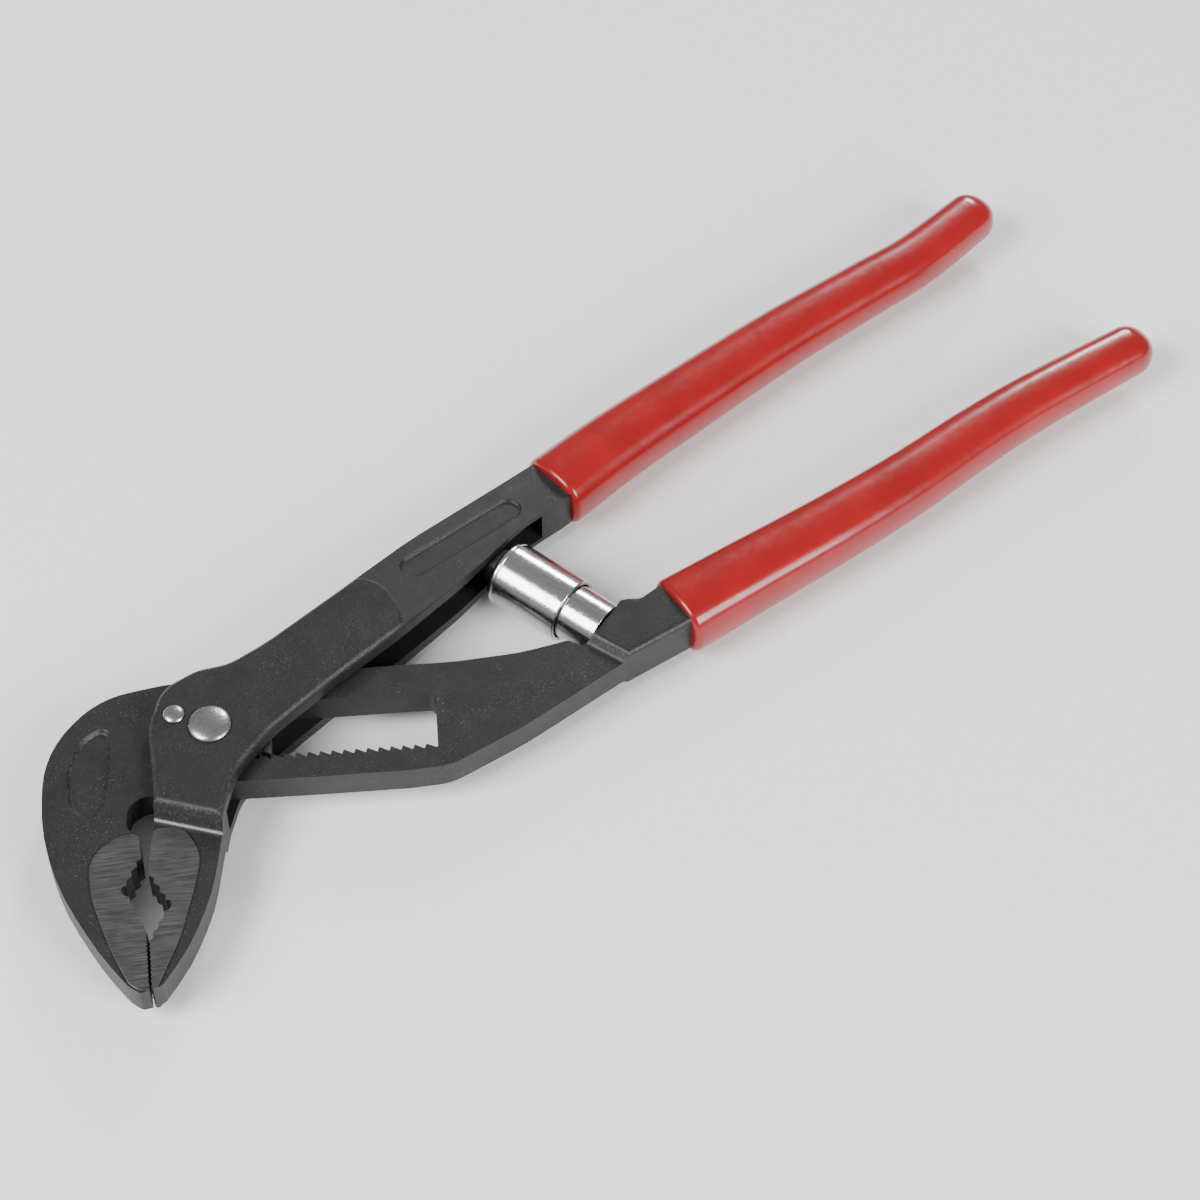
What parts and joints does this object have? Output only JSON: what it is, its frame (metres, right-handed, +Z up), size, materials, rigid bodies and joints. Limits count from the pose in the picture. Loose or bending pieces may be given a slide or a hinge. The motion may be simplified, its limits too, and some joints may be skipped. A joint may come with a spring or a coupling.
{
  "type": "self-adjusting water pump pliers",
  "caption": "Box-joint water pump pliers with angled toothed jaws, a rack and ratchet block, a sprung strut and dipped grips.",
  "frame": {"origin": "under the middle of the tool's bounding box, on the plane that its rear rivet head lies on", "axes": "+X from the jaws to the ends of the grips, +Y towards the outer lever's grip, +Z up out of the tool's front face, along the rivets' axes"},
  "size_m": [0.249, 0.0752, 0.0163],
  "materials": {
    "coated_steel": "satin dark grey coating with fine light specks, ground bare on the jaw pads",
    "dipped_grip": "glossy red dipped vinyl",
    "bright_rivet": "satin bright steel",
    "bare_steel": "machined bare steel",
    "spring_steel": "drawn wire",
    "plated_steel": "bright plating, turned",
    "black_plastic": "moulded"
  },
  "bodies": {
    "rivet": {"main_rivet": "bright_rivet"},
    "outer_half": {"outer_lever": "coated_steel", "outer_grip": "dipped_grip", "stop_pin": "bright_rivet"},
    "bush": {"pivot_bush": "bare_steel"},
    "block": {"ratchet_block": "bare_steel", "block_spring": "spring_steel"},
    "inner_half": {"inner_lever": "coated_steel", "inner_grip": "dipped_grip", "strut_tube": "plated_steel", "tube_ring": "black_plastic", "strut_spring": "spring_steel"},
    "strut": {"strut_sleeve": "plated_steel", "strut_foot": "bare_steel"}
  },
  "joints": [
    {"name": "handle_spread", "type": "hinge", "parent": "rivet", "child": "outer_half", "pos_m": [-0.08454, 0.00408, 0.00815], "axis": [0, 0, 1], "range_deg": [0, 6.5]},
    {"name": "jaw_turn", "type": "hinge", "parent": "rivet", "child": "bush", "pos_m": [-0.08454, 0.00408, 0.00815], "axis": [0, 0, 1], "range_deg": [-30, 0]},
    {"name": "ratchet_engage", "type": "slide", "parent": "bush", "child": "block", "axis": [-0.4795, -0.8776, 0], "range_m": [0, 0.0011], "stiffness_N_per_m": 200, "deforming": ["block_spring"]},
    {"name": "jaw_slide", "type": "slide", "parent": "bush", "child": "inner_half", "axis": [-0.8776, 0.4795, 0], "range_m": [0, 0.0286]},
    {"name": "strut_stroke", "type": "slide", "parent": "inner_half", "child": "strut", "axis": [-0.342, 0.9397, 0], "range_m": [0, 0.0078], "deforming": ["strut_spring"]}
  ],
  "couplings": [
    {"joint": "jaw_turn", "follows": "jaw_slide", "rad_per_m": -17.4},
    {"joint": "strut_stroke", "follows": "handle_spread", "m_per_rad": 0.065}
  ]
}
